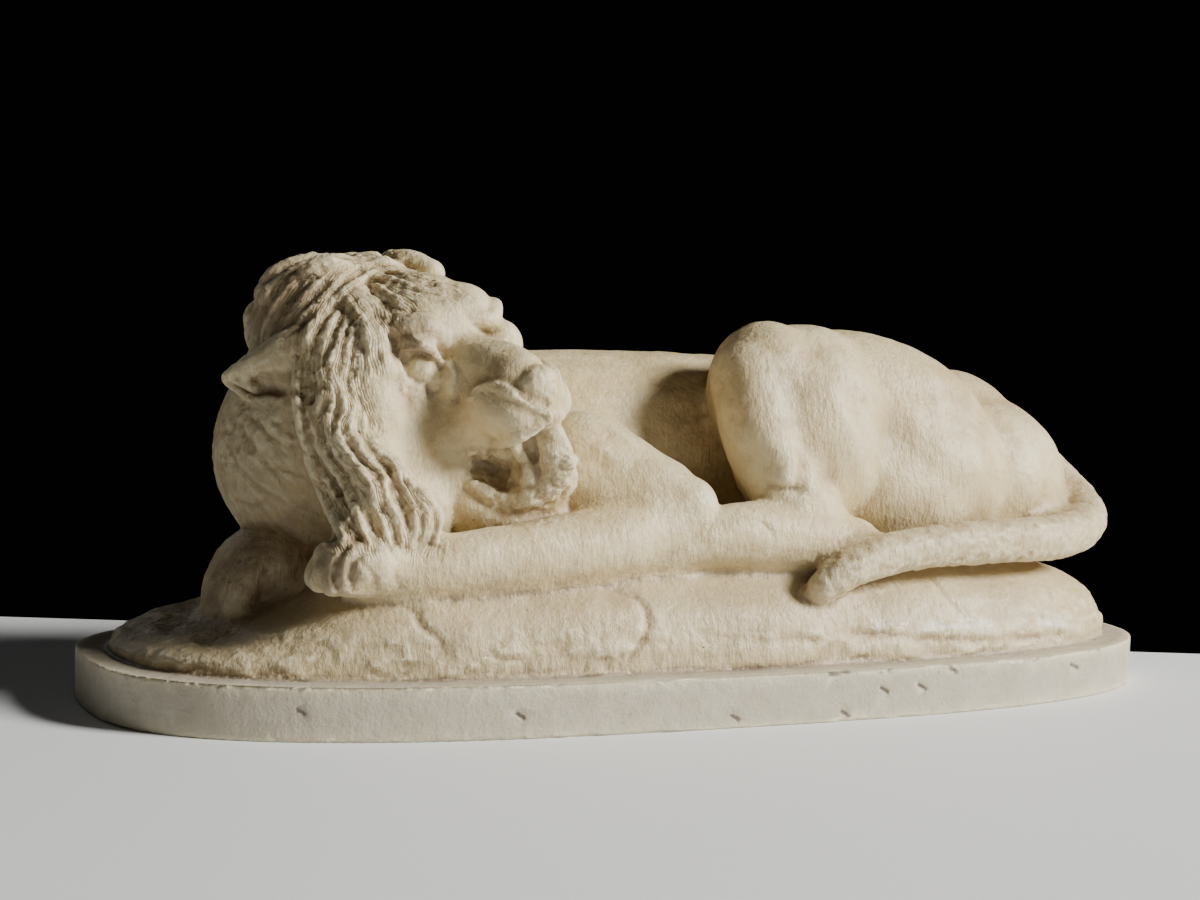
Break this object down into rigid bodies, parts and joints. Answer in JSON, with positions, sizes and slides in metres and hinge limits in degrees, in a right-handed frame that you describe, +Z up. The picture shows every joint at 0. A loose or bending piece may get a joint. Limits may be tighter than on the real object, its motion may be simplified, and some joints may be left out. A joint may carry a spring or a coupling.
{
  "type": "reclining lion sculpture",
  "caption": "Marble lion lying on a rocky mound and an oval plinth, its head turned back over its flank with the mouth open, the tail drawn round along the ground.",
  "frame": {"origin": "on the flat underside of the plinth, at the middle of its length and width", "axes": "+X along the plinth towards the lion's rump and tail, +Y towards the lion's far flank, +Z up"},
  "size_m": [0.36, 0.16, 0.139],
  "materials": {
    "marble": "worn polished marble with warm patina"
  },
  "bodies": {
    "root": {"lion_sculpture": "marble"}
  },
  "joints": []
}
